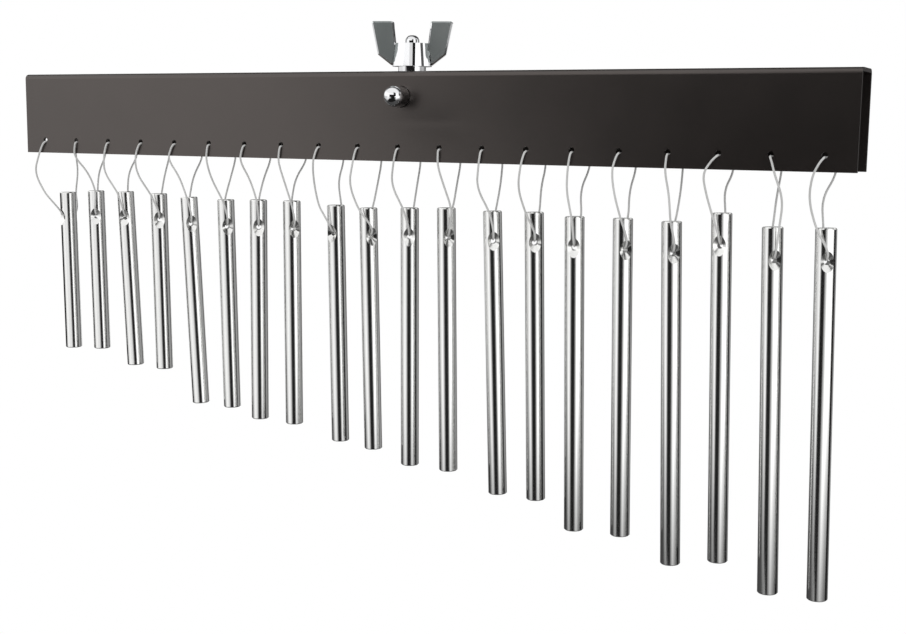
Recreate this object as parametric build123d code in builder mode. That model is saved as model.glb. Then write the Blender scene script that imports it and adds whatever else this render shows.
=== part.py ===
from build123d import *
import math
import os
from typing import NamedTuple

os.makedirs("parts", exist_ok=True)

# Bar chimes: twenty tuned bars hang on cord loops under a channel-shaped mantle, which an eye bolt clamps to a post.
# Millimetres, +X towards the long bars, -Y towards the player, +Z up.
# The origin lies on the post's axis, where the free rear stretch of the post begins.

# Row of chimes
pair_lengths = [83.5, 90.4, 104.6, 108.8, 114.5, 121.1, 129.2, 138.1, 147.2, 152.6]
chime_pitch = 21.0
end_margin = 12.5

# Mantle
mantle_height = 40.2
mantle_width = 20.8
sheet = 1.6
bend_radius = 2.5
clamp_offset = 12.0
cord_hole_diameter = 2.6
cord_hole_rise = 6.5

# Bars
bar_diameter = 8.5
bar_end_chamfer = 0.4
cross_hole_diameter = 2.4
cross_hole_drop = 13.3
countersink_diameter = 8.4
countersink_angle = 118.0

# Cords
cord_diameter = 0.9
knot_diameter = 2.4
knot_sag = 0.4
cord_gap = 0.3
cord_seat = 0.1
corner_lead = 2.2
corner_bulge = 0.25
lip_over = 1.65
front_reach = 6.25
rear_reach = 5.75

# Post
post_diameter = 9.5
post_drop = 11.4
post_front = 10.95
post_rear = 45.0
post_chamfer = 0.8
post_clearance = 0.1
groove_width = 1.5
groove_depth = 0.3
groove_gap = 0.5

# Eye bolt
eye_bore = 11.0
eye_wall = 2.25
eye_length = 8.0
eye_rounding = 0.8
stud_diameter = 6.35
stud_rise = 16.2
stud_rounding = 2.6
stud_clearance = 0.225

# Washer and wing nut
face_gap = 0.05
washer_diameter = 12.6
washer_thickness = 2.25
thread_clearance = 0.08
hub_low_diameter = 18.6
hub_high_diameter = 16.2
hub_height = 10.2
hub_facets = 10
hub_facet_turn = 21.6
wing_tip = 18.5
wing_top_inner = 8.5
wing_rise = 20.0
wing_waist = 7.3
wing_heel = 15.5
wing_heel_rise = 5.2
wing_thickness = 4.2
wing_corner = 0.9
wing_bevel = 0.7
wing_lift = 0.6
wing_overlap = 0.2
nut_turn = 21.0


class Hang(NamedTuple):
    """How one chime hangs, in millimetres and degrees.

    The bar: gap under the mantle, shift to the back, twist of its cross-hole, lean towards +X.
    Its cord: sideways places at the lip and halfway down, turn round the bar at its rim, slack of the front strand.
    """

    gap: float
    back: float
    twist: float
    lean: float
    lip: float
    front: float
    rear: float
    front_rim: float
    rear_rim: float
    slack: float


# One row for each chime, from the shortest pair to the longest
hangs = [
    Hang(21.1, 5.0, -23, 0.8, -4.4, -10.1, 2.0, -28, -1, 6.3),
    Hang(19.6, 3.4, 30, 1.0, -1.1, 3.7, -3.4, 40, 35, 0.0),
    Hang(19.3, 2.0, 19, 2.7, -2.5, -5.4, -3.7, -1, 31, 0.0),
    Hang(19.7, 2.8, 36, 1.1, -3.3, -5.4, -1.3, -2, 25, 0.0),
    Hang(20.7, 0.5, 47, 3.1, -3.6, 1.1, -3.0, 28, 35, 0.0),
    Hang(21.3, 2.8, 45, 1.4, -1.2, -1.4, -1.5, 22, 42, 0.0),
    Hang(20.6, 0.9, 35, -0.0, -2.3, 1.3, -2.0, 28, 34, 0.0),
    Hang(20.3, -1.4, 50, 0.5, -1.1, 0.6, -3.8, 29, 34, 0.0),
    Hang(21.8, 4.8, -8, 1.3, -2.9, -5.1, -2.6, -39, 5, 2.5),
    Hang(22.1, -0.4, 52, 1.6, -2.3, -5.6, -0.0, -21, 8, 0.0),
    Hang(21.4, 1.5, 23, 0.5, -1.9, -4.6, -0.3, -1, 10, 0.0),
    Hang(20.4, -2.5, 44, 1.2, -0.2, 1.8, 0.3, 49, -6, 0.0),
    Hang(21.2, 1.7, 29, 2.2, -1.2, -3.5, 0.2, 12, 10, 0.0),
    Hang(20.8, 0.1, 28, 1.6, -2.3, -4.3, -0.6, -15, -2, 0.0),
    Hang(21.6, -4.8, 16, 1.3, -1.3, -1.6, -2.0, 9, -10, 0.0),
    Hang(21.6, -2.5, 42, 1.2, -2.6, -1.8, -1.0, 10, -5, 0.0),
    Hang(22.1, -1.4, 33, 1.8, -0.6, 1.0, 0.5, 12, 1, 0.0),
    Hang(17.8, -1.0, 2, 1.6, -5.8, -5.0, -1.9, -26, 1, 0.0),
    Hang(22.6, -0.9, 31, 1.8, 2.3, 5.5, -1.1, 37, 12, 0.0),
    Hang(22.2, 0.0, 24, 1.5, -4.3, -5.7, -4.0, -27, 22, 0.0),
]

# Derived places
chime_count = 2 * len(pair_lengths)
mantle_length = 2 * end_margin + (chime_count - 1) * chime_pitch
mantle_left = -clamp_offset - mantle_length / 2
mantle_top = post_drop
lip_z = mantle_top - mantle_height
rear_y = -groove_width - groove_gap
mid_y = rear_y - mantle_width / 2
front_y = rear_y - mantle_width
post_radius = post_diameter / 2
bar_radius = bar_diameter / 2
cord_radius = cord_diameter / 2
cross_radius = cross_hole_diameter / 2
countersink_radius = countersink_diameter / 2
hole_z = lip_z + cord_hole_rise
loop_z = hole_z - (cord_hole_diameter / 2 - cord_radius - cord_seat)
cord_lift = cross_radius - cord_radius - cord_seat
hole_xs = [mantle_left + end_margin + i * chime_pitch for i in range(chime_count)]

# Mantle: folded channel with cord holes, post holes and the stud hole
channel = [
    (front_y, lip_z),
    (front_y, mantle_top),
    (rear_y, mantle_top),
    (rear_y, lip_z),
    (rear_y - sheet, lip_z),
    (rear_y - sheet, mantle_top - sheet),
    (front_y + sheet, mantle_top - sheet),
    (front_y + sheet, lip_z),
]
with BuildPart() as mantle:
    with BuildSketch(Plane.YZ.offset(mantle_left)) as profile:
        with BuildLine():
            Polyline(*channel, close=True)
        make_face()
        corner_rows = profile.vertices().group_by(Axis.Y)
        fillet(corner_rows[-1], bend_radius)
        fillet(corner_rows[-2], bend_radius - sheet)
    extrude(amount=mantle_length)
    with BuildSketch(Plane.XZ.offset(-mid_y)):
        with Locations([(x, hole_z) for x in hole_xs]):
            Circle(cord_hole_diameter / 2)
        with Locations((0, 0)):
            Circle(post_radius + post_clearance)
    extrude(amount=mantle_width, both=True, mode=Mode.SUBTRACT)
    with BuildSketch(Plane.XY.offset(mantle_top - 2 * sheet)):
        with Locations((0, mid_y)):
            Circle(stud_diameter / 2 + stud_clearance)
    extrude(amount=3 * sheet, mode=Mode.SUBTRACT)
mantle.part.label = "mantle"
export_step(mantle.part, "parts/mantle.step")

# Mounting post: domed front end, a turned ring groove behind the mantle, and the free stretch for a stand's clamp
post_tip = front_y - post_front
with BuildPart() as mounting_post:
    with BuildSketch(Plane.XY):
        with BuildLine():
            Line((0, post_tip), (0, post_rear))
            Line((0, post_rear), (post_radius - post_chamfer, post_rear))
            Line((post_radius - post_chamfer, post_rear), (post_radius, post_rear - post_chamfer))
            Line((post_radius, post_rear - post_chamfer), (post_radius, 0))
            Line((post_radius, 0), (post_radius - groove_depth, 0))
            Line((post_radius - groove_depth, 0), (post_radius - groove_depth, -groove_width))
            Line((post_radius - groove_depth, -groove_width), (post_radius, -groove_width))
            Line((post_radius, -groove_width), (post_radius, post_tip + post_radius))
            CenterArc((0, post_tip + post_radius), post_radius, 0, -90)
        make_face()
    revolve(axis=Axis.Y)
mounting_post.part.label = "mounting_post"
export_step(mounting_post.part, "parts/mounting_post.step")

# Eye bolt: the eye hangs round the post and presses it up when the nut pulls the stud
eye_z = eye_bore / 2 - post_radius - post_clearance
eye_outer = eye_bore / 2 + eye_wall
stud_end = mantle_top + stud_rise
stud_start = eye_z + eye_bore / 2 + eye_wall / 2
with BuildPart() as eye_bolt:
    with BuildSketch(Plane.XZ.offset(-mid_y)):
        with Locations((0, eye_z)):
            Circle(eye_outer)
            Circle(eye_bore / 2, mode=Mode.SUBTRACT)
    extrude(amount=eye_length / 2, both=True)
    eye_rims = eye_bolt.edges().filter_by(GeomType.CIRCLE).filter_by(lambda e: e.radius > eye_bore / 2 + eye_wall / 2)
    fillet(eye_rims, eye_rounding)
    with BuildSketch(Plane.XY.offset(stud_start)):
        with Locations((0, mid_y)):
            Circle(stud_diameter / 2)
    extrude(amount=stud_end - stud_start)
    stud_rim = eye_bolt.faces().sort_by(Axis.Z)[-1].edges()
    fillet(stud_rim, stud_rounding)
eye_bolt.part.label = "eye_bolt"
export_step(eye_bolt.part, "parts/eye_bolt.step")

# Washer under the wing nut
washer_z = mantle_top + face_gap
with BuildPart() as washer:
    with BuildSketch(Plane.XY.offset(washer_z)):
        with Locations((0, mid_y)):
            Circle(washer_diameter / 2)
            Circle(stud_diameter / 2 + stud_clearance, mode=Mode.SUBTRACT)
    extrude(amount=washer_thickness)
washer.part.label = "washer"
export_step(washer.part, "parts/washer.step")

# Wing nut: tapered ten-sided hub between two bevelled wings
hub_z = washer_z + washer_thickness + face_gap
turn = math.radians(nut_turn)
nut_across = Vector(math.cos(turn), math.sin(turn), 0)
nut_normal = Vector(math.sin(turn), -math.cos(turn), 0)
hub_plane = Plane(origin=(0, mid_y, hub_z), x_dir=nut_across, z_dir=(0, 0, 1))
wing_plane = Plane(origin=(0, mid_y, hub_z), x_dir=nut_across, z_dir=nut_normal)
wing_root = hub_high_diameter / 4
wing_outline = [
    (wing_root, wing_lift),
    (hub_low_diameter / 2 + wing_overlap, wing_lift),
    (wing_heel, wing_heel_rise),
    (wing_tip, wing_rise),
    (wing_top_inner, wing_rise),
    (wing_waist, hub_height),
    (wing_root, hub_height - wing_lift),
]
with BuildPart() as wing_nut:
    with BuildSketch(wing_plane):
        with BuildLine():
            Polyline(*wing_outline, close=True)
        make_face()
        with BuildLine():
            Polyline(*[(-x, z) for x, z in wing_outline], close=True)
        make_face()
    extrude(amount=wing_thickness / 2, both=True)
    wing_edges = wing_nut.edges().filter_by(Axis((0, 0, 0), nut_normal))
    corner_places = [wing_plane.to_local_coords(e.center()) for e in wing_edges]
    far_out = (hub_low_diameter / 2 + wing_tip) / 2
    high_up = (hub_height + wing_rise) / 2
    tip_edges = [e for e, p in zip(wing_edges, corner_places) if abs(p.X) > far_out or p.Y > high_up]
    fillet(tip_edges, wing_corner)
    chamfer(wing_nut.faces().filter_by(Axis((0, 0, 0), nut_normal)).edges(), wing_bevel)
    with BuildSketch(hub_plane):
        RegularPolygon(hub_low_diameter / 2, hub_facets, rotation=hub_facet_turn)
    with BuildSketch(hub_plane.offset(hub_height)):
        RegularPolygon(hub_high_diameter / 2, hub_facets, rotation=hub_facet_turn)
    loft()
    with BuildSketch(hub_plane):
        Circle(stud_diameter / 2 + thread_clearance)
    extrude(amount=2 * hub_height, mode=Mode.SUBTRACT)
wing_nut.part.label = "wing_nut"
export_step(wing_nut.part, "parts/wing_nut.step")


def around(hang: Hang, turn: float) -> Vector:
    """Give the direction square to a bar's axis at a turn in degrees from the front towards +X."""
    lean = math.radians(hang.lean)
    across = Vector(math.cos(lean), 0, math.sin(lean))
    return across * math.sin(math.radians(turn)) + Vector(0, -math.cos(math.radians(turn)), 0)


def bar_places(index: int) -> tuple[Vector, Vector, Vector, float]:
    """Give the top centre of a bar, the way down its axis, its cross-hole's front side and its length."""
    hang = hangs[index]
    lean = math.radians(hang.lean)
    top = Vector(hole_xs[index], mid_y + hang.back, lip_z - hang.gap)
    down = Vector(math.sin(lean), 0, -math.cos(lean))
    return top, down, around(hang, hang.twist), pair_lengths[index // 2]


def half_route(index: int, front: bool) -> list[Vector]:
    """List the route points of one strand of a cord loop, from the knot down to the middle of the bar."""
    hang = hangs[index]
    top, down, side, _ = bar_places(index)
    way = -1 if front else 1
    x = hole_xs[index]
    face = mid_y + way * (mantle_width / 2 + cord_gap + cord_radius)
    lip = hang.lip if front else -0.15 * hang.lip
    bow = hang.front if front else hang.rear
    rim_turn = hang.front_rim if front else hang.rear_rim
    rim_reach = front_reach + hang.slack if front else rear_reach
    reach = bar_radius + cord_gap + cord_radius
    flare = math.radians(countersink_angle / 2)
    cone_start = bar_radius - (countersink_radius - cross_radius) / math.tan(flare)
    leave = cone_start + (cord_lift - cross_radius) / math.tan(flare) + (cord_radius + cord_gap) / math.sin(flare)
    cross_depth = cross_hole_drop - cord_lift
    side_depth = cross_depth - (reach - leave) * math.tan(flare)
    rim = top - around(hang, rim_turn) * (way * rim_reach)
    halfway = around(hang, (rim_turn + hang.twist) / 2) * (-way * (rim_reach + reach) / 2)
    return [
        Vector(x, mid_y + way * knot_diameter / 4, loop_z - knot_sag),
        Vector(x, face - way * corner_lead, loop_z),
        Vector(x, face, loop_z),
        Vector(x + 0.4 * lip, face + way * corner_bulge, loop_z - corner_lead),
        Vector(x + lip, face, lip_z - lip_over),
        Vector(x + bow, (face + rim.Y) / 2, (lip_z + top.Z) / 2),
        rim,
        top + halfway + down * (side_depth / 2),
        top - side * (way * reach) + down * side_depth,
        top - side * (way * leave) + down * cross_depth,
    ]


def corner_radii(points: list[Vector], tight: dict[int, float]) -> list[float]:
    """Give the bend radius at each inner route point: the named tight ones, else the widest that the runs allow."""
    radii = []
    for k in range(1, len(points) - 1):
        before = points[k] - points[k - 1]
        after = points[k + 1] - points[k]
        half_turn = math.radians(before.get_angle(after)) / 2
        widest = 0.45 * min(before.length, after.length) / math.tan(half_turn)
        radii.append(min(widest, tight.get(k, widest)))
    return radii


# Chimes and their cords
for i in range(chime_count):
    name = f"{i + 1:02d}"
    bar_top, bar_down, bar_side, bar_length = bar_places(i)
    cross_centre = bar_top + bar_down * cross_hole_drop
    with BuildPart() as chime:
        bar_foot = bar_top + bar_down * bar_length
        with BuildSketch(Plane(origin=bar_foot, x_dir=bar_side.cross(bar_down), z_dir=-bar_down)):
            Circle(bar_radius)
        extrude(amount=bar_length)
        chamfer(chime.edges().filter_by(GeomType.CIRCLE), bar_end_chamfer)
        for way in (1, -1):
            with Locations(Plane(origin=cross_centre + bar_side * (way * bar_radius), z_dir=bar_side * way)):
                CounterSinkHole(cross_radius, countersink_radius, counter_sink_angle=countersink_angle)
    chime.part.label = f"chime_{name}"
    export_step(chime.part, f"parts/chime_{name}.step")

    route = half_route(i, True) + half_route(i, False)[::-1]
    last = len(route) - 1
    tight_bends = {2: cord_diameter, 8: 1.5 * cord_diameter, 9: cord_diameter}
    tight_bends.update({last - k: radius for k, radius in tight_bends.items()})
    bends = corner_radii(route, tight_bends)
    with BuildPart() as cord:
        with BuildLine() as path:
            FilletPolyline(*route, radius=bends)
        with BuildSketch(Plane(origin=path.line @ 0, z_dir=path.line % 0)):
            Circle(cord_radius)
        sweep()
        tube_volume = cord.part.volume
        with Locations((hole_xs[i], mid_y, loop_z - knot_sag)):
            Sphere(knot_diameter / 2)
    cord.part.label = f"cord_{name}"
    export_step(cord.part, f"parts/cord_{name}.step")
    section = math.pi * cord_radius**2
    cord_length = path.wires()[0].length
    ratio = tube_volume / (section * cord_length)
    print(f"cord_{name}: length {cord_length:.1f}, smallest bend {min(bends):.2f}, volume ratio {ratio:.4f}")
    print("  bends", " ".join(f"{radius:.1f}" for radius in bends))
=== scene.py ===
import logging
import math
from dataclasses import dataclass, field
from enum import Enum

import bmesh
import bpy
from mathutils import Matrix, Vector


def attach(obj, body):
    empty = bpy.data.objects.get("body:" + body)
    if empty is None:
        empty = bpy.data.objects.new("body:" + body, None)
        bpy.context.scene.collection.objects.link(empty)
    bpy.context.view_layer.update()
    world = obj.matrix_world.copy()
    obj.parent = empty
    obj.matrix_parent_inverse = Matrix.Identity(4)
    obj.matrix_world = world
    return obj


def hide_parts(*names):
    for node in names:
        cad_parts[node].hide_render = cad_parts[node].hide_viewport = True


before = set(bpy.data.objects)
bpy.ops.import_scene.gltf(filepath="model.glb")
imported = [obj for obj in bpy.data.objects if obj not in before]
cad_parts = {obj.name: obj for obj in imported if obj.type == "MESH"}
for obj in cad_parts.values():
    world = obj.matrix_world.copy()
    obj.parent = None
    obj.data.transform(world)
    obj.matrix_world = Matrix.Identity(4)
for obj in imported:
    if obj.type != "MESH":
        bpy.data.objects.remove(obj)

logging.basicConfig(level=logging.INFO, format="%(message)s")
log = logging.getLogger("bar_chimes")

MM = 0.001
TINY = 1e-7
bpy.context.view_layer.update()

Triple = tuple[float, float, float]
Stops = list[tuple[float, Triple]]
Ring = tuple[tuple[float, float], ...]
Socket = bpy.types.NodeSocket


class Slot(Enum):
    """Material slots of the record."""

    SHEET = "black_sheet"
    BAR = "bar_aluminium"
    CORD = "cord"
    CHROME = "chrome"


@dataclass(frozen=True)
class Sizes:
    """Sizes shared with the solid parts, in millimetres."""

    pitch: float = 21.0
    end_margin: float = 12.5
    clamp_offset: float = 12.0
    chimes: int = 20
    top: float = 11.4
    height: float = 40.2
    width: float = 20.8
    bend: float = 2.5
    rear: float = -2.0
    hole_rise: float = 6.5
    hole_radius: float = 1.3
    bar_radius: float = 4.25
    cross_radius: float = 1.2
    cross_drop: float = 13.3
    sink_radius: float = 4.2
    sink_angle: float = 118.0
    cord_radius: float = 0.45
    cord_gap: float = 0.3
    cord_seat: float = 0.1
    corner_lead: float = 2.2
    corner_bulge: float = 0.25
    corner_share: float = 0.4
    rear_share: float = -0.15
    lip_over: float = 1.65
    front_reach: float = 6.25
    rear_reach: float = 5.75
    knot: float = 2.4
    knot_sag: float = 0.4

    @property
    def lip(self) -> float:
        """Returns: height of the mantle's lower edge."""
        return self.top - self.height

    @property
    def mid(self) -> float:
        """Returns: the mantle's middle plane along Y."""
        return self.rear - self.width / 2

    @property
    def loop(self) -> float:
        """Returns: height of the cords where they pass through the mantle."""
        return self.lip + self.hole_rise - (self.hole_radius - self.cord_radius - self.cord_seat)

    @property
    def lift(self) -> float:
        """Returns: how far a cord sits above the axis of its cross-hole."""
        return self.cross_radius - self.cord_radius - self.cord_seat

    def hole_x(self, index: int) -> float:
        """Place of a cord hole.

        Args:
            index: number of the chime, from 0 at the short end.

        Returns:
            The hole's X.
        """
        length = 2 * self.end_margin + (self.chimes - 1) * self.pitch
        return -self.clamp_offset - length / 2 + self.end_margin + index * self.pitch


@dataclass(frozen=True)
class Hang:
    """How one chime hangs, in millimetres and degrees, with the length of its cord loop."""

    gap: float
    back: float
    twist: float
    lean: float
    lip: float
    front: float
    rear: float
    front_rim: float
    rear_rim: float
    slack: float
    cord: float


HANGS: tuple[Hang, ...] = (
    Hang(21.1, 5.0, -23, 0.8, -4.4, -10.1, 2.0, -28, -1, 6.3, 113.2),
    Hang(19.6, 3.4, 30, 1.0, -1.1, 3.7, -3.4, 40, 35, 0.0, 107.7),
    Hang(19.3, 2.0, 19, 2.7, -2.5, -5.4, -3.7, -1, 31, 0.0, 107.5),
    Hang(19.7, 2.8, 36, 1.1, -3.3, -5.4, -1.3, -2, 25, 0.0, 108.4),
    Hang(20.7, 0.5, 47, 3.1, -3.6, 1.1, -3.0, 28, 35, 0.0, 110.1),
    Hang(21.3, 2.8, 45, 1.4, -1.2, -1.4, -1.5, 22, 42, 0.0, 110.2),
    Hang(20.6, 0.9, 35, -0.0, -2.3, 1.3, -2.0, 28, 34, 0.0, 108.7),
    Hang(20.3, -1.4, 50, 0.5, -1.1, 0.6, -3.8, 29, 34, 0.0, 108.3),
    Hang(21.8, 4.8, -8, 1.3, -2.9, -5.1, -2.6, -39, 5, 2.5, 112.4),
    Hang(22.1, -0.4, 52, 1.6, -2.3, -5.6, -0.0, -21, 8, 0.0, 114.1),
    Hang(21.4, 1.5, 23, 0.5, -1.9, -4.6, -0.3, -1, 10, 0.0, 110.1),
    Hang(20.4, -2.5, 44, 1.2, -0.2, 1.8, 0.3, 49, -6, 0.0, 108.6),
    Hang(21.2, 1.7, 29, 2.2, -1.2, -3.5, 0.2, 12, 10, 0.0, 109.6),
    Hang(20.8, 0.1, 28, 1.6, -2.3, -4.3, -0.6, -15, -2, 0.0, 109.4),
    Hang(21.6, -4.8, 16, 1.3, -1.3, -1.6, -2.0, 9, -10, 0.0, 110.9),
    Hang(21.6, -2.5, 42, 1.2, -2.6, -1.8, -1.0, 10, -5, 0.0, 111.4),
    Hang(22.1, -1.4, 33, 1.8, -0.6, 1.0, 0.5, 12, 1, 0.0, 110.7),
    Hang(17.8, -1.0, 2, 1.6, -5.8, -5.0, -1.9, -26, 1, 0.0, 104.7),
    Hang(22.6, -0.9, 31, 1.8, 2.3, 5.5, -1.1, 37, 12, 0.0, 112.1),
    Hang(22.2, 0.0, 24, 1.5, -4.3, -5.7, -4.0, -27, 22, 0.0, 113.8),
)


def grey(value: float) -> Triple:
    """Give a grey.

    Args:
        value: linear brightness.

    Returns:
        The colour.
    """
    return (value, value, value)


class Nodes:
    """A small helper that adds and links shader nodes in one tree."""

    def __init__(self, tree: bpy.types.NodeTree) -> None:
        """Keep the tree and empty it.

        Args:
            tree: node tree of a material or world.
        """
        self.tree = tree
        tree.nodes.clear()

    def add(self, kind: str, **inputs: object) -> bpy.types.Node:
        """Add a node, with values or links for its inputs.

        Args:
            kind: Blender's node type name.
            inputs: socket name with underscores, and a value or an output socket.

        Returns:
            The new node.
        """
        node = self.tree.nodes.new(kind)
        for name, value in inputs.items():
            socket = node.inputs[name.replace("_", " ")]
            self.feed(socket, value)
        return node

    def feed(self, socket: Socket, value: object) -> None:
        """Link an output to an input, or set the input's own value.

        Args:
            socket: the input.
            value: an output socket or a value.
        """
        if isinstance(value, Socket):
            self.tree.links.new(value, socket)
        else:
            socket.default_value = value

    def math(self, operation: str, *values: object) -> Socket:
        """Add a math node.

        Args:
            operation: name of the operation.
            values: numbers or output sockets, in order.

        Returns:
            The result socket.
        """
        node = self.tree.nodes.new("ShaderNodeMath")
        node.operation = operation
        for socket, value in zip(node.inputs, values):
            self.feed(socket, value)
        return node.outputs[0]

    def blend(self, share: Socket, first: Socket, second: Socket) -> Socket:
        """Mix two shaders.

        Args:
            share: share of the second shader.
            first: shader at 0.
            second: shader at 1.

        Returns:
            The mixed shader.
        """
        node = self.add("ShaderNodeMixShader", Fac=share)
        self.tree.links.new(first, node.inputs[1])
        self.tree.links.new(second, node.inputs[2])
        return node.outputs[0]

    def ramp(self, value: Socket, stops: Stops) -> Socket:
        """Add a colour ramp.

        Args:
            value: input socket from 0 to 1.
            stops: places and linear colours.

        Returns:
            The colour socket.
        """
        node = self.tree.nodes.new("ShaderNodeValToRGB")
        elements = node.color_ramp.elements
        while len(elements) < len(stops):
            elements.new(0.5)
        for element, (place, colour) in zip(elements, stops):
            element.position = place
            element.color = (*colour, 1.0)
        self.tree.links.new(value, node.inputs[0])
        return node.outputs[0]

    def noise(self, scale: float, detail: float, stretch: Triple = (1, 1, 1)) -> Socket:
        """Add noise in object space.

        Args:
            scale: cells per metre.
            detail: octaves.
            stretch: factor on each axis.

        Returns:
            The noise value socket.
        """
        place = self.add("ShaderNodeTexCoord").outputs["Object"]
        mapped = self.add("ShaderNodeMapping", Vector=place, Scale=stretch).outputs[0]
        return self.add("ShaderNodeTexNoise", Vector=mapped, Scale=scale, Detail=detail).outputs[0]

    def spread(self, value: Socket, low: float, high: float) -> Socket:
        """Map a value from 0..1 to a range.

        Args:
            value: input socket.
            low: result at 0.
            high: result at 1.

        Returns:
            The mapped socket.
        """
        node = self.add("ShaderNodeMapRange", Value=value, To_Min=low, To_Max=high)
        return node.outputs[0]

    def bump(self, value: Socket, strength: float, distance: float) -> Socket:
        """Add a bump node.

        Args:
            value: height socket.
            strength: share of the effect.
            distance: height in metres.

        Returns:
            The normal socket.
        """
        return self.add("ShaderNodeBump", Height=value, Strength=strength, Distance=distance).outputs[0]

    def surface(self, shader: Socket) -> None:
        """Link a shader to the material's surface.

        Args:
            shader: shader socket.
        """
        self.add("ShaderNodeOutputMaterial", Surface=shader)


@dataclass(frozen=True)
class Finish:
    """A finish whose colour, roughness and relief vary a little over the surface, with an optional glow
    that is painted light.
    """

    name: str
    dark: Triple
    light: Triple
    metallic: float
    rough: tuple[float, float]
    grain: float
    stretch: Triple = (1.0, 1.0, 1.0)
    relief: float = 0.0
    specular: float = 0.5
    tint: Triple = (1.0, 1.0, 1.0)
    index: float = 1.5
    painted_glow: float = 0.0
    broad_cells: float = 40

    def make(self) -> bpy.types.Material:
        """Build the material.

        Returns:
            The new material.
        """
        material = bpy.data.materials.new(self.name)
        material.use_nodes = True
        nodes = Nodes(material.node_tree)
        fine = nodes.noise(self.grain, 3.0, self.stretch)
        broad = nodes.noise(self.grain / self.broad_cells, 2.0, self.stretch)
        colour = nodes.ramp(broad, [(0.3, self.dark), (0.7, self.light)])
        shader = nodes.add(
            "ShaderNodeBsdfPrincipled",
            Base_Color=colour,
            Metallic=self.metallic,
            Roughness=nodes.spread(fine, *self.rough),
            Specular_IOR_Level=self.specular,
            Specular_Tint=(*self.tint, 1.0),
            IOR=self.index,
            # Emission is painted light, set only where a finish asks for a glow.
            Emission_Color=(1, 1, 1, 1),
            Emission_Strength=self.painted_glow,
        )
        if self.relief:
            normal = nodes.bump(fine, 1.0, self.relief)
            material.node_tree.links.new(normal, shader.inputs["Normal"])
        nodes.surface(shader.outputs[0])
        return material


SATIN_BLACK = Finish(
    "satin_black", (0.006, 0.0049, 0.0046), (0.010, 0.008, 0.0075), 0.0, (0.29, 0.40), 2200,
    relief=0.02 * MM, specular=0.9, tint=(1.0, 0.89, 0.84), index=1.6,
)
DRAWN_BAR = Finish(
    "drawn_aluminium", (0.90, 0.90, 0.89), (0.95, 0.95, 0.94), 1.0, (0.10, 0.18), 1400,
    stretch=(1, 1, 0.04),
)
MACHINED = Finish("machined_aluminium", (0.84, 0.84, 0.83), (0.92, 0.92, 0.90), 1.0, (0.14, 0.24), 1800)
PLATED = Finish("bright_plating", (0.80, 0.81, 0.82), (0.86, 0.86, 0.87), 1.0, (0.05, 0.09), 900)
# Painted shade: a darker, rougher copy of the plating for the nut's flat wing faces and rounded edges.
SHADED_PLATING = Finish(
    "shaded_wing_plating", (0.33, 0.36, 0.355), (0.47, 0.50, 0.495), 1.0, (0.38, 0.52), 1500,
    relief=0.02 * MM,
)
# The cord's faint glow is painted light, brightening its strands, the rear ones in the channel's shade
# too.
BRAID = Finish(
    "braided_cord", (0.62, 0.62, 0.61), (0.74, 0.74, 0.73), 0.0, (0.5, 0.7), 2600,
    relief=0.04 * MM, specular=0.4, painted_glow=0.03,
)


@dataclass
class Library:
    """The materials, made once and shared by the sub-assemblies."""

    made: dict[str, bpy.types.Material] = field(default_factory=dict)

    def get(self, finish: Finish) -> bpy.types.Material:
        """Give the material of a finish.

        Args:
            finish: the finish.

        Returns:
            Its material.
        """
        if finish.name not in self.made:
            self.made[finish.name] = finish.make()
        return self.made[finish.name]


def twin(node: str, name: str, body: str) -> bpy.types.Object:
    """Make a shown copy of a solid node, which stands for it.

    Args:
        node: name of the solid node.
        name: name of the copy.
        body: body that the copy moves with.

    Returns:
        The copy, with no materials.
    """
    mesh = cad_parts[node].data.copy()
    mesh.name = name
    mesh.materials.clear()
    obj = bpy.data.objects.new(name, mesh)
    bpy.context.scene.collection.objects.link(obj)
    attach(obj, body)
    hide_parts(node)
    return obj


def weld(mesh: bpy.types.Mesh) -> None:
    """Merge the doubled vertices of an imported mesh.

    Args:
        mesh: the mesh to change.
    """
    work = bmesh.new()
    work.from_mesh(mesh)
    bmesh.ops.remove_doubles(work, verts=work.verts, dist=TINY)
    work.to_mesh(mesh)
    work.free()


@dataclass
class Mantle:
    """The black folded channel, with the limits that tell its bends from its flat faces."""

    sizes: Sizes
    library: Library
    end_on: float = 0.1
    tilted: float = 0.02

    def build(self) -> bpy.types.Object:
        """Copy the channel, with true normals round its bends.

        Returns:
            The shown channel.
        """
        obj = twin("mantle", "mantle_sheet", "mantle")
        mesh = obj.data
        weld(mesh)
        s = self.sizes
        centres = [(s.rear - s.bend) * MM, (s.rear - s.width + s.bend) * MM]
        level = (s.top - s.bend) * MM
        normals = []
        for polygon in mesh.polygons:
            polygon.use_smooth = True
            flat = polygon.normal
            bent = abs(flat.x) < self.end_on and min(abs(flat.y), abs(flat.z)) > self.tilted
            for index in polygon.vertices:
                place = mesh.vertices[index].co
                centre = min(centres, key=lambda c: abs(c - place.y))
                out = Vector((0, place.y - centre, place.z - level))
                if bent and out.length > 10 * TINY:
                    normals.append(out.normalized() if out.dot(flat) > 0 else -out.normalized())
                else:
                    normals.append(flat.copy())
        mesh.normals_split_custom_set(normals)
        return obj

    def dress(self, obj: bpy.types.Object) -> None:
        """Give the channel its finish.

        Args:
            obj: the shown channel.
        """
        obj.data.materials.append(self.library.get(SATIN_BLACK))
        log.info("mantle: %d faces", len(obj.data.polygons))


PLATED_PIECES: tuple[tuple[str, str], ...] = (
    ("mounting_post", "post"),
    ("eye_bolt", "eye_bolt"),
    ("washer", "mantle"),
    ("wing_nut", "wing_nut"),
)


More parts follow.
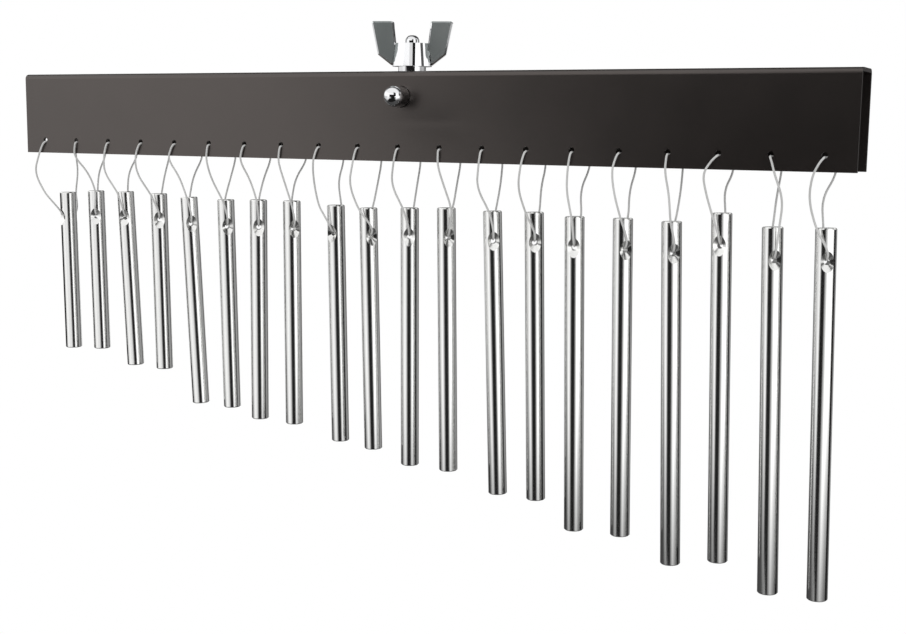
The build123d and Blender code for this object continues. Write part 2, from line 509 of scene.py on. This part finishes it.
@dataclass
class Clamp:
    """Post, eye bolt, washer and wing nut, with the nut's form in millimetres and degrees."""

    sizes: Sizes
    library: Library
    sharp: float = 32.0
    turn: float = 21.0
    wing_start: float = 8.6
    facing_flat: float = 0.99
    facing_part: float = 0.5
    corner_rise: float = 6.0
    corner_upright: float = 0.95
    corner_reach: tuple[float, float] = (7.5, 9.6)
    corner_round: float = 2.0
    edge_round: float = 0.35
    edge_angle: float = 20.0
    merge_angle: float = 1.5

    def build(self) -> list[bpy.types.Object]:
        """Copy the four plated pieces.

        Returns:
            The shown pieces, the wing nut last.
        """
        return [twin(node, f"{node}_plated", body) for node, body in PLATED_PIECES]

    def dress(self, pieces: list[bpy.types.Object]) -> None:
        """Smooth the pieces, round the nut's edges and give all their finishes.

        Args:
            pieces: the shown pieces, the wing nut last.
        """
        for obj in pieces:
            weld(obj.data)
            obj.data.materials.append(self.library.get(PLATED))
            for polygon in obj.data.polygons:
                polygon.use_smooth = True
            obj.data.set_sharp_from_angle(angle=math.radians(self.sharp))
            log.info("%s: %d faces", obj.name, len(obj.data.polygons))
        self.round_nut(pieces[-1])

    def hub_corner(self, edge: bmesh.types.BMEdge) -> bool:
        """Tell whether an edge is an upright corner between two facets of the nut's hub.

        Args:
            edge: an edge of the wing nut.

        Returns:
            True for such a corner.
        """
        low, high = sorted((vertex.co for vertex in edge.verts), key=lambda place: place.z)
        run = high - low
        centre = (low + high) / 2 - Vector((0, self.sizes.mid * MM, 0))
        inner, outer = self.corner_reach
        upright = run.z > max(self.corner_rise * MM, self.corner_upright * run.length)
        return upright and inner * MM < math.hypot(centre.x, centre.y) < outer * MM and edge.is_convex

    def round_nut(self, nut: bpy.types.Object) -> None:
        """Round the edges of the wing nut, and give its flat wing faces and rounded edges a darker copy of
        the plating as painted shade.

        Args:
            nut: the shown wing nut.
        """
        work = bmesh.new()
        work.from_mesh(nut.data)
        merge = math.radians(self.merge_angle)
        bmesh.ops.dissolve_limit(work, angle_limit=merge, verts=work.verts, edges=work.edges)
        corners = [edge for edge in work.edges if self.hub_corner(edge)]
        bmesh.ops.bevel(
            work, geom=corners, offset=self.corner_round * MM, segments=3, profile=0.5,
            affect="EDGES", material=-1,
        )
        log.info("wing nut: %d hub corners rounded", len(corners))
        work.to_mesh(nut.data)
        work.free()
        # The second material is the painted shade, a darker copy of the plating.
        nut.data.materials.append(self.library.get(SHADED_PLATING))
        turn = math.radians(self.turn)
        facing = Vector((math.sin(turn), -math.cos(turn), 0))
        for polygon in nut.data.polygons:
            centre = polygon.center - Vector((0, self.sizes.mid * MM, 0))
            aside = abs(centre.x) > self.wing_start * MM
            towards = abs(polygon.normal.dot(facing))
            flat = towards > self.facing_flat
            upper = min(polygon.normal.z, towards) > self.facing_part
            polygon.material_index = 1 if aside and (flat or upper) else 0
            polygon.use_smooth = False
        bevel = nut.modifiers.new("rounding", "BEVEL")
        bevel.width = self.edge_round * MM
        bevel.segments = 3
        bevel.limit_method = "ANGLE"
        bevel.angle_limit = math.radians(self.edge_angle)
        bevel.harden_normals = False
        # The rounded edges take the painted shade, which draws them as dark lines.
        bevel.material = 1


@dataclass
class Chime:
    """One bar, its cord loop and the knot, with the limits that sort the bar's faces."""

    index: int
    sizes: Sizes
    hang: Hang
    library: Library
    end_facing: float = 0.95
    skin_facing: float = 0.97
    bore_facing: float = 0.3
    rim_reach: float = 1.5
    rim_roll: float = 20.0
    knot_size: float = 0.94
    knot_relief: float = 0.06
    knot_lobes: int = 3
    knot_twist: float = 0.25

    @property
    def number(self) -> str:
        """Returns: two-digit number of the chime."""
        return f"{self.index + 1:02d}"

    def around(self, turn: float) -> Vector:
        """Direction square to the bar's axis.

        Args:
            turn: degrees from the front towards +X.

        Returns:
            The unit direction.
        """
        lean, angle = math.radians(self.hang.lean), math.radians(turn)
        across = Vector((math.cos(lean), 0, math.sin(lean)))
        return across * math.sin(angle) + Vector((0, -math.cos(angle), 0))

    def places(self) -> tuple[Vector, Vector, Vector]:
        """Place of the bar.

        Returns:
            The bar's top centre in millimetres, the way down its axis and its cross-hole's front side.
        """
        s = self.sizes
        lean = math.radians(self.hang.lean)
        top = Vector((s.hole_x(self.index), s.mid + self.hang.back, s.lip - self.hang.gap))
        return top, Vector((math.sin(lean), 0, -math.cos(lean))), self.around(self.hang.twist)

    def half_route(self, front: bool) -> list[Vector]:
        """Route points of one strand, from the knot to the bar's cross-hole.

        Args:
            front: True for the front strand.

        Returns:
            The points, in millimetres.
        """
        s = self.sizes
        hang = self.hang
        top, down, side = self.places()
        way = -1 if front else 1
        x = s.hole_x(self.index)
        face = s.mid + way * (s.width / 2 + s.cord_gap + s.cord_radius)
        lip = hang.lip if front else s.rear_share * hang.lip
        bow = hang.front if front else hang.rear
        rim_turn = hang.front_rim if front else hang.rear_rim
        rim_reach = s.front_reach + hang.slack if front else s.rear_reach
        reach = s.bar_radius + s.cord_gap + s.cord_radius
        flare = math.radians(s.sink_angle / 2)
        cone_start = s.bar_radius - (s.sink_radius - s.cross_radius) / math.tan(flare)
        leave = cone_start + (s.lift - s.cross_radius) / math.tan(flare)
        leave += (s.cord_radius + s.cord_gap) / math.sin(flare)
        cross_depth = s.cross_drop - s.lift
        side_depth = cross_depth - (reach - leave) * math.tan(flare)
        rim = top - self.around(rim_turn) * (way * rim_reach)
        halfway = self.around((rim_turn + hang.twist) / 2) * (-way * (rim_reach + reach) / 2)
        return [
            Vector((x, s.mid + way * s.knot / 4, s.loop - s.knot_sag)),
            Vector((x, face - way * s.corner_lead, s.loop)),
            Vector((x, face, s.loop)),
            Vector((x + s.corner_share * lip, face + way * s.corner_bulge, s.loop - s.corner_lead)),
            Vector((x + lip, face, s.lip - s.lip_over)),
            Vector((x + bow, (face + rim.y) / 2, (s.lip + top.z) / 2)),
            rim,
            top + halfway + down * (side_depth / 2),
            top - side * (way * reach) + down * side_depth,
            top - side * (way * leave) + down * cross_depth,
        ]

    def build(self) -> tuple[bpy.types.Object, bpy.types.Object, bpy.types.Object]:
        """Make the bar, the cord and the knot.

        Returns:
            The three shown objects.
        """
        bar = twin(f"chime_{self.number}", f"bar_{self.number}", f"chime_{self.number}")
        return bar, self.build_cord(), self.build_knot()

    def build_cord(self) -> bpy.types.Object:
        """Make the cord loop as a round curve along its route.

        Returns:
            The curve object.
        """
        points = self.half_route(True) + self.half_route(False)[::-1]
        curve = bpy.data.curves.new(f"loop_{self.number}", "CURVE")
        curve.dimensions = "3D"
        curve.bevel_depth = self.sizes.cord_radius
        curve.bevel_resolution = 4
        curve.resolution_u = 10
        curve.use_fill_caps = True
        spline = curve.splines.new("NURBS")
        spline.points.add(len(points) - 1)
        for point, place in zip(spline.points, points):
            point.co = (*(place * MM), 1.0)
            point.radius = MM
        spline.order_u = 3
        spline.use_endpoint_u = True
        obj = bpy.data.objects.new(f"loop_{self.number}", curve)
        bpy.context.scene.collection.objects.link(obj)
        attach(obj, f"cord_{self.number}")
        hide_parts(f"cord_{self.number}")
        return obj

    def build_knot(self) -> bpy.types.Object:
        """Make the knot that closes the loop inside the channel.

        Returns:
            The knot object.
        """
        s = self.sizes
        mesh = bpy.data.meshes.new(f"knot_{self.number}")
        work = bmesh.new()
        bmesh.ops.create_icosphere(work, subdivisions=4, radius=s.knot / 2 * MM)
        for vertex in work.verts:
            angle = math.atan2(vertex.co.z, vertex.co.x)
            wave = math.cos(self.knot_lobes * angle + vertex.co.y / (self.knot_twist * MM))
            vertex.co *= self.knot_size + self.knot_relief * wave
        place = Vector((s.hole_x(self.index), s.mid, s.loop - s.knot_sag))
        bmesh.ops.translate(work, verts=work.verts, vec=place * MM)
        for face in work.faces:
            face.smooth = True
        work.to_mesh(mesh)
        work.free()
        obj = bpy.data.objects.new(f"knot_{self.number}", mesh)
        bpy.context.scene.collection.objects.link(obj)
        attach(obj, f"cord_{self.number}")
        return obj

    def dress(self, bar: bpy.types.Object, loop: bpy.types.Object, knot: bpy.types.Object) -> None:
        """Give the three objects their normals and finishes, and log the cord's length.

        Args:
            bar: the shown bar.
            loop: the cord curve.
            knot: the knot.
        """
        self.true_normals(bar)
        braid = self.library.get(BRAID)
        loop.data.materials.append(braid)
        knot.data.materials.append(braid)
        log.info("chime %s: bar, cord of %.1f mm and knot", self.number, self.hang.cord)

    def true_normals(self, bar: bpy.types.Object) -> None:
        """Set the normals of the round, chamfered and countersunk faces, and the bar's two finishes.

        Args:
            bar: the shown bar.
        """
        mesh = bar.data
        weld(mesh)
        mesh.materials.append(self.library.get(DRAWN_BAR))
        mesh.materials.append(self.library.get(MACHINED))
        s = self.sizes
        top, down, side = self.places()
        cross = (top + down * s.cross_drop) * MM
        top = top * MM
        roll = math.radians(self.rim_roll)
        flare = math.radians(s.sink_angle / 2)
        normals = []
        for polygon in mesh.polygons:
            polygon.use_smooth = True
            flat = polygon.normal
            centre = polygon.center - top
            outward = (centre - down * centre.dot(down)).normalized()
            along = flat.dot(side)
            end = abs(flat.dot(down)) > self.end_facing
            skin = not end and flat.dot(outward) > self.skin_facing
            level = (polygon.center - cross).dot(down)
            rim = not end and not skin and abs(level) > self.rim_reach * s.sink_radius * MM
            polygon.material_index = 0 if skin else 1
            for index in polygon.vertices:
                place = mesh.vertices[index].co - top
                radial = place - down * place.dot(down)
                radial = radial.normalized() if radial.length > TINY else outward
                inner = mesh.vertices[index].co - cross
                inner = inner - side * inner.dot(side)
                inner = -inner.normalized() if inner.length > TINY else flat
                if end:
                    normal = flat.copy()
                elif skin:
                    normal = radial
                elif rim:
                    normal = radial * math.cos(roll) + down * math.copysign(math.sin(roll), flat.dot(down))
                elif abs(along) < self.bore_facing:
                    normal = inner
                else:
                    normal = inner * math.cos(flare) + side * math.copysign(math.sin(flare), along)
                normals.append(normal)
        mesh.normals_split_custom_set(normals)


# Painted reflections: brightness at each turn round the object, seen only by glossy rays, low down and on
# the floor (FLOOR_RING) and higher up (WALL_RING).
FLOOR_RING: Ring = (
    (-180, 0.1), (-174, 0.1), (-171, 0.95), (-161, 0.95), (-152, 0.12), (-134, 0.14),
    (-120, 0.4), (-104, 0.86), (-82, 0.74), (-64, 0.73), (-50, 0.9), (-40, 1.05), (-20, 0.86), (0, 0.84),
    (22, 1.1), (45, 1.35), (90, 1.35), (99, 0.9), (106, 0.28), (125, 0.3), (146, 0.34), (165, 0.1),
)
WALL_RING: Ring = (
    (-180, 0.1), (-150, 0.15), (-130, 0.25), (-112, 0.5), (-98, 1.25), (-30, 1.3), (-15, 1.15),
    (30, 1.2), (45, 1.35), (78, 1.35), (88, 0.1), (104, 0.1), (113, 1.3), (130, 1.3), (145, 0.5),
    (165, 0.1),
)


@dataclass(frozen=True)
class Card:
    """A dark card that the metal mirrors, in metres, solid between two shares of its width."""

    name: str
    centre: Triple
    across: Triple
    along: Triple
    solid: tuple[float, float]


# Painted dark reflections: sheets that only glossy rays see, each adding painted shade to what the metal
# mirrors.
CARDS: tuple[Card, ...] = (
    Card("dark_front", (0.05, -0.354, -0.15), (0.19, 0, 0), (0, 0, 0.25), (0.39, 0.93)),
    Card("dark_near", (0.25, -0.28, -0.2225), (0.15, 0, 0), (0, 0, 0.1775), (0.12, 0.28)),
    Card("dark_upper", (0.02, -0.356, 0.035), (0.28, 0, 0), (0, 0, 0.065), (0.3, 0.95)),
    Card("dark_wall", (0.21, -0.30, 0.15), (0.13, 0, 0), (0, 0, 0.14), (0.35, 0.88)),
    Card("dark_right", (0.42, 0.15, -0.2225), (0, 0.13, 0), (0, 0, 0.1775), (0.1, 0.8)),
    Card("dark_left", (-0.34, -0.02, -0.2225), (0, 0.07, 0), (0, 0, 0.1775), (0.15, 0.9)),
    Card("dark_low", (0.0, -0.050, -0.012), (0.016, 0, 0), (0, 0.012, 0), (0.15, 0.85)),
)


@dataclass
class Studio:
    """Camera, floor, surroundings and the dark cards that the metal mirrors."""

    lens_px: float = 1323.9
    picture: tuple[int, int] = (906, 634)
    place: Triple = (0.29232, -0.54732, -0.01336)
    pitch: float = 8.142
    yaw: float = 26.789
    roll: float = 0.692
    sensor: float = 36.0
    floor_level: float = -0.32
    floor_half: float = 3.0
    floor_grey: float = 0.62
    under_grey: float = 0.04
    card_grey: float = 0.012
    room_grey: float = 0.9

    def build(self) -> None:
        """Make the camera, floor, dark cards and world."""
        data = bpy.data.cameras.new("camera")
        data.sensor_width = self.sensor
        data.lens = self.lens_px / self.picture[0] * data.sensor_width
        data.clip_start = 0.01
        camera = bpy.data.objects.new("camera", data)
        camera.location = self.place
        yaw = Matrix.Rotation(math.radians(self.yaw), 3, "Z")
        pitch = Matrix.Rotation(math.radians(90 - self.pitch), 3, "X")
        roll = Matrix.Rotation(math.radians(self.roll), 3, "Z")
        camera.rotation_euler = (yaw @ pitch @ roll).to_euler()
        bpy.context.scene.collection.objects.link(camera)
        bpy.context.scene.camera = camera
        half = self.floor_half
        floor = self.plate("floor", (0, 0, self.floor_level), (half, 0, 0), (0, half, 0))
        floor.data.materials.append(self.floor_finish())
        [self.hang_card(card) for card in CARDS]
        self.surround()
        bpy.context.scene.view_settings.view_transform = "Standard"
        log.info("studio: camera, floor, %d dark cards and surroundings", len(CARDS))

    def hang_card(self, card: Card) -> bpy.types.Object:
        """Set up a dark card that only the shiny surfaces see.

        Args:
            card: the card's place, size and soft sides.

        Returns:
            The card.
        """
        obj = self.plate(card.name, card.centre, card.across, card.along)
        obj.data.materials.append(self.card_finish(card))
        obj.visible_camera = False
        obj.visible_diffuse = False
        obj.visible_shadow = False
        obj.visible_transmission = False
        return obj

    def plate(self, name: str, centre: Triple, across: Triple, along: Triple) -> bpy.types.Object:
        """Make a flat plate.

        Args:
            name: object name.
            centre: middle of the plate.
            across: half the plate along its first side.
            along: half the plate along its second side.

        Returns:
            The plate.
        """
        c, a, b = Vector(centre), Vector(across), Vector(along)
        mesh = bpy.data.meshes.new(name)
        mesh.from_pydata([c - a - b, c + a - b, c + a + b, c - a + b], [], [(0, 1, 2, 3)])
        obj = bpy.data.objects.new(name, mesh)
        bpy.context.scene.collection.objects.link(obj)
        return obj

    def floor_finish(self) -> bpy.types.Material:
        """Make the pale floor, white in the picture itself and evenly grey to diffuse light, with a
        painted reflection for glossy rays: the graded ring, darkened close under the object.

        Returns:
            The floor's material.
        """
        material = bpy.data.materials.new("pale_floor")
        material.use_nodes = True
        nodes = Nodes(material.node_tree)
        path = nodes.add("ShaderNodeLightPath").outputs
        seen = nodes.math("MAXIMUM", path["Is Camera Ray"], path["Is Transmission Ray"])
        mirrored = path["Is Glossy Ray"]
        place = nodes.add("ShaderNodeTexCoord").outputs["Object"]
        parts = nodes.add("ShaderNodeSeparateXYZ", Vector=place).outputs
        around = self.mirrored_ring(nodes, parts[0], parts[1], FLOOR_RING)
        ahead = nodes.math("POWER", parts[1], 2.0)
        aside = nodes.math("POWER", nodes.math("MULTIPLY", parts[0], 0.4), 2.0)
        distance = nodes.math("SQRT", nodes.math("ADD", ahead, aside))
        # Painted shade in the floor's reflection, darker close under the object.
        near = nodes.ramp(distance, [(0.2, grey(0.03)), (0.62, grey(1))])
        under = (*grey(self.under_grey), 1)
        shade = nodes.add("ShaderNodeMixRGB", Fac=near, Color1=under, Color2=around).outputs[0]
        matt = nodes.add("ShaderNodeBsdfDiffuse", Color=(*grey(self.floor_grey), 1)).outputs[0]
        graded = nodes.add("ShaderNodeEmission", Color=shade, Strength=1.0).outputs[0]
        white = nodes.add("ShaderNodeEmission", Color=(1, 1, 1, 1), Strength=1.0).outputs[0]
        nodes.surface(nodes.blend(seen, nodes.blend(mirrored, matt, graded), white))
        return material

    def card_finish(self, card: Card) -> bpy.types.Material:
        """Make the finish of a dark card, which fades out towards its sides.

        Args:
            card: the card.

        Returns:
            The card's material.
        """
        material = bpy.data.materials.new(card.name)
        material.use_nodes = True
        nodes = Nodes(material.node_tree)
        place = nodes.add("ShaderNodeTexCoord").outputs["Generated"]
        across = nodes.add("ShaderNodeSeparateXYZ", Vector=place).outputs[0 if card.across[0] else 1]
        begin, end = card.solid
        cover = nodes.ramp(across, [(0.0, grey(0)), (begin, grey(1)), (end, grey(1)), (1.0, grey(0))])
        clear = nodes.add("ShaderNodeBsdfTransparent").outputs[0]
        dark = nodes.add("ShaderNodeEmission", Color=(*grey(self.card_grey), 1), Strength=1.0).outputs[0]
        nodes.surface(nodes.blend(cover, clear, dark))
        return material

    def mirrored_ring(self, nodes: Nodes, x: Socket, y: Socket, ring: Ring) -> Socket:
        """Brightness round the object, as the metal mirrors it.

        Args:
            nodes: tree to add to.
            x: X of the direction or place.
            y: Y of the direction or place.
            ring: turns in degrees from the front towards +X, and the brightness there.

        Returns:
            The colour socket.
        """
        angle = nodes.math("ARCTAN2", x, nodes.math("MULTIPLY", y, -1.0))
        turn = nodes.math("ADD", nodes.math("DIVIDE", angle, 2 * math.pi), 0.5)
        return nodes.ramp(turn, [((degrees + 180) / 360, grey(value)) for degrees, value in ring])

    def surround(self) -> None:
        """Make the white surroundings, with a painted reflection graded all round that only the metal
        mirrors; other rays see an even grey.
        """
        world = bpy.data.worlds.new("studio")
        bpy.context.scene.world = world
        world.use_nodes = True
        nodes = Nodes(world.node_tree)
        way = nodes.add("ShaderNodeTexCoord").outputs["Generated"]
        parts = nodes.add("ShaderNodeSeparateXYZ", Vector=way).outputs
        low = self.mirrored_ring(nodes, parts[0], parts[1], FLOOR_RING)
        high = self.mirrored_ring(nodes, parts[0], parts[1], WALL_RING)
        level = nodes.ramp(nodes.math("ADD", parts[2], 0.5), [(0.52, grey(0)), (0.62, grey(1))])
        around = nodes.add("ShaderNodeMixRGB", Fac=level, Color1=low, Color2=high).outputs[0]
        # Painted reflection overhead: dark behind, bright in front.
        rise = nodes.ramp(parts[2], [(0.35, grey(0)), (0.6, grey(1))])
        forward = nodes.math("ADD", nodes.math("MULTIPLY", parts[1], -0.5), 0.5)
        over = nodes.ramp(forward, [(0.35, grey(0.05)), (0.5, grey(1))])
        mirrored = nodes.add("ShaderNodeMixRGB", Fac=rise, Color1=around, Color2=over).outputs[0]
        path = nodes.add("ShaderNodeLightPath").outputs
        room = (*grey(self.room_grey), 1)
        glossy = nodes.add("ShaderNodeMixRGB", Fac=path["Is Glossy Ray"], Color1=room, Color2=mirrored)
        seen = nodes.math("MAXIMUM", path["Is Camera Ray"], path["Is Transmission Ray"])
        shown = nodes.add("ShaderNodeMixRGB", Fac=seen, Color1=glossy.outputs[0], Color2=(1, 1, 1, 1))
        back = nodes.add("ShaderNodeBackground", Color=shown.outputs[0], Strength=1.0)
        nodes.add("ShaderNodeOutputWorld", Surface=back.outputs[0])


def main() -> None:
    """Build every sub-assembly in order and log its pieces."""
    sizes = Sizes()
    library = Library()
    mantle = Mantle(sizes, library)
    mantle.dress(mantle.build())
    clamp = Clamp(sizes, library)
    clamp.dress(clamp.build())
    for index, hang in enumerate(HANGS):
        chime = Chime(index, sizes, hang, library)
        chime.dress(*chime.build())
    Studio().build()


if __name__ == "__main__":
    main()
